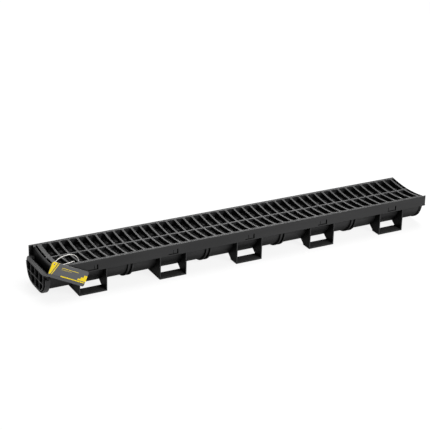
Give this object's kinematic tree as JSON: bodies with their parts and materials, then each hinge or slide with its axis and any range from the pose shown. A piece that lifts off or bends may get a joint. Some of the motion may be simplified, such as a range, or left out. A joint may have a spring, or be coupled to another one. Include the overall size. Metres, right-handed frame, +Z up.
{
  "type": "channel drain",
  "caption": "Straight surface drain: half-round trough on feet with a bell end, a slotted grate dropped between side bands, a ribbed end cap and a folded card tied to the grate.",
  "frame": {"origin": "on the ground under the middle of the drain, end cap included and card left out", "axes": "+X along the drain from the bell and end cap to the plain end, +Z up through the grate, -Y the side that the card hangs on"},
  "size_m": [1.0154, 0.1458, 0.1007],
  "materials": {
    "channel_plastic": "moulded black plastic, fine satin sheen",
    "grate_plastic": "moulded black plastic, slightly brighter where it faces up",
    "cap_plastic": "moulded black plastic",
    "card": "printed card, dark grey with yellow",
    "string": "pale twisted cord"
  },
  "bodies": {
    "root": {"channel": "channel_plastic", "grate": "grate_plastic", "end_cap": "cap_plastic", "swing_tag": "card", "tag_string": "string", "string_knot": "string"}
  },
  "joints": []
}
